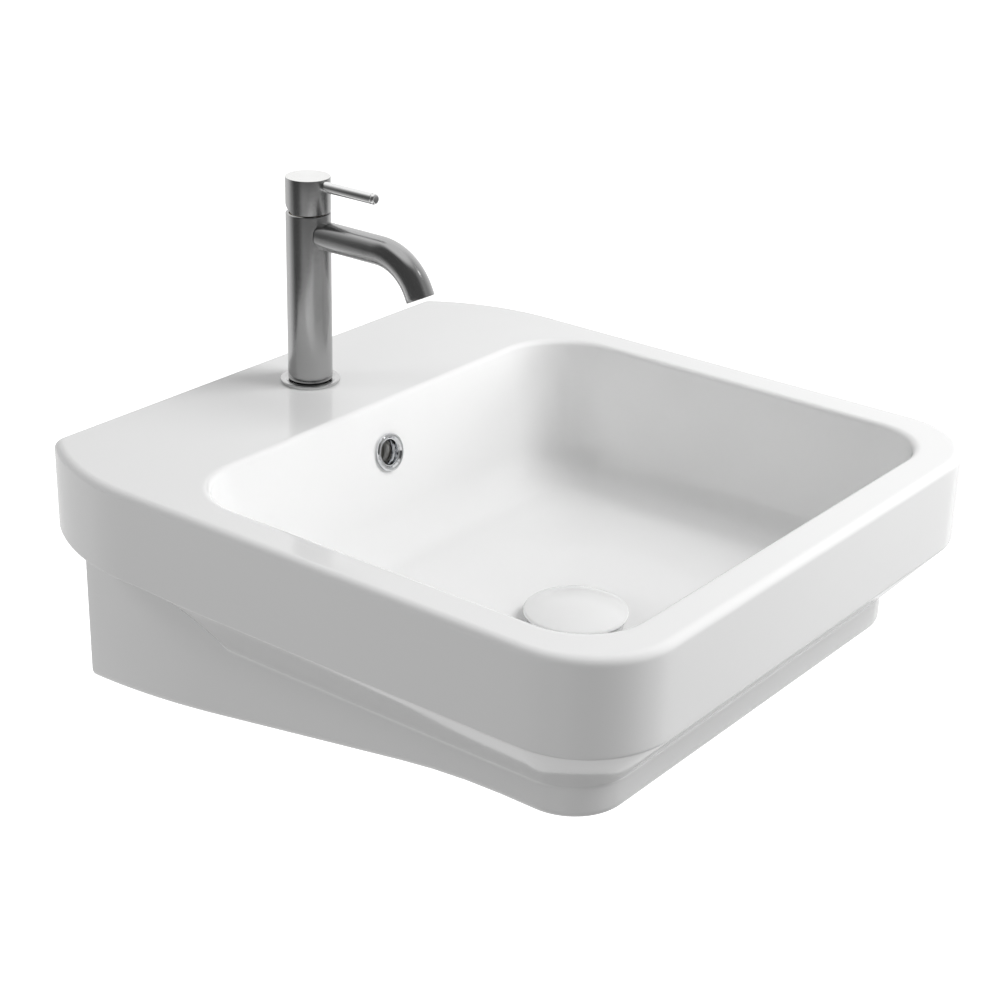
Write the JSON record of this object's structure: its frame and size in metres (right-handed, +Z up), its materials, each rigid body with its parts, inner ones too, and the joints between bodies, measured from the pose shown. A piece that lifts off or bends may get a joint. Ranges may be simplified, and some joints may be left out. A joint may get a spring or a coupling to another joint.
{
  "type": "washbasin",
  "caption": "Wall-hung white ceramic washbasin with a rounded-square bowl, a brushed single-lever mixer tap with a bent spout, an overflow ring and a push-to-close waste.",
  "frame": {"origin": "on the flat back of the ceramic, midway between the two wall-fixing holes, 100 mm below the rim", "axes": "+Z up, +Y into the wall, -Y towards the user, +X to the user's right when facing the wall"},
  "size_m": [0.5, 0.527, 0.371],
  "materials": {
    "ceramic": "gloss white glaze",
    "chrome": "polished",
    "brushed": "fine brushed",
    "steel": "plain",
    "brass": "turned",
    "rubber": "matt black",
    "pale_plastic": "moulded, off-white",
    "dark_plastic": "moulded, grey",
    "alumina": "lapped"
  },
  "bodies": {
    "sink": {"basin": "ceramic", "overflow_ring": "chrome", "deck_gasket": "rubber", "deck_flange": "chrome", "tap_body": "brushed", "spout_tube": "brushed", "aerator_housing": "chrome", "aerator_insert": "pale_plastic", "aerator_seal": "rubber", "cartridge_base": "pale_plastic", "inlet_seal_left": "rubber", "inlet_seal_right": "rubber", "fixed_disc": "alumina", "cartridge_housing": "pale_plastic", "cartridge_nut": "brass", "mounting_stud": "brass", "deck_washer_rubber": "rubber", "deck_washer_steel": "steel", "mounting_nut": "brass", "waste_top_gasket": "rubber", "waste_body": "chrome", "click_housing": "brass", "waste_spring": "steel", "waste_bottom_gasket": "rubber", "waste_lock_nut": "brass"},
    "lever_turn": {"cartridge_rotor": "dark_plastic", "stem_pin": "steel"},
    "lever_lift": {"lever_cap": "brushed", "lever_rod": "brushed", "lever_grub_screw": "steel", "cartridge_stem": "steel"},
    "disc_slider": {"moving_disc": "alumina", "disc_carrier": "dark_plastic"},
    "waste_plug": {"waste_cap": "ceramic", "cap_carrier": "pale_plastic", "cap_seal": "rubber", "waste_plunger": "brass"}
  },
  "joints": [
    {"name": "lever_swivel", "type": "hinge", "parent": "sink", "child": "lever_turn", "pos_m": [0, -0.058, 0.2288], "axis": [0, 0, 1], "range_deg": [-45, 45]},
    {"name": "lever_tilt", "type": "hinge", "parent": "lever_turn", "child": "lever_lift", "pos_m": [0, -0.058, 0.2288], "axis": [-1, 0, 0], "range_deg": [0, 22]},
    {"name": "disc_slide", "type": "slide", "parent": "lever_turn", "child": "disc_slider", "axis": [0, -1, 0], "range_m": [0, 0.0037]},
    {"name": "waste_press", "type": "slide", "parent": "sink", "child": "waste_plug", "axis": [0, 0, 1], "range_m": [-0.006, 0], "stiffness_N_per_m": 400, "springref_m": 0.006, "deforming": ["waste_spring"]}
  ],
  "couplings": [
    {"joint": "disc_slide", "follows": "lever_tilt", "m_per_rad": 0.00956}
  ]
}
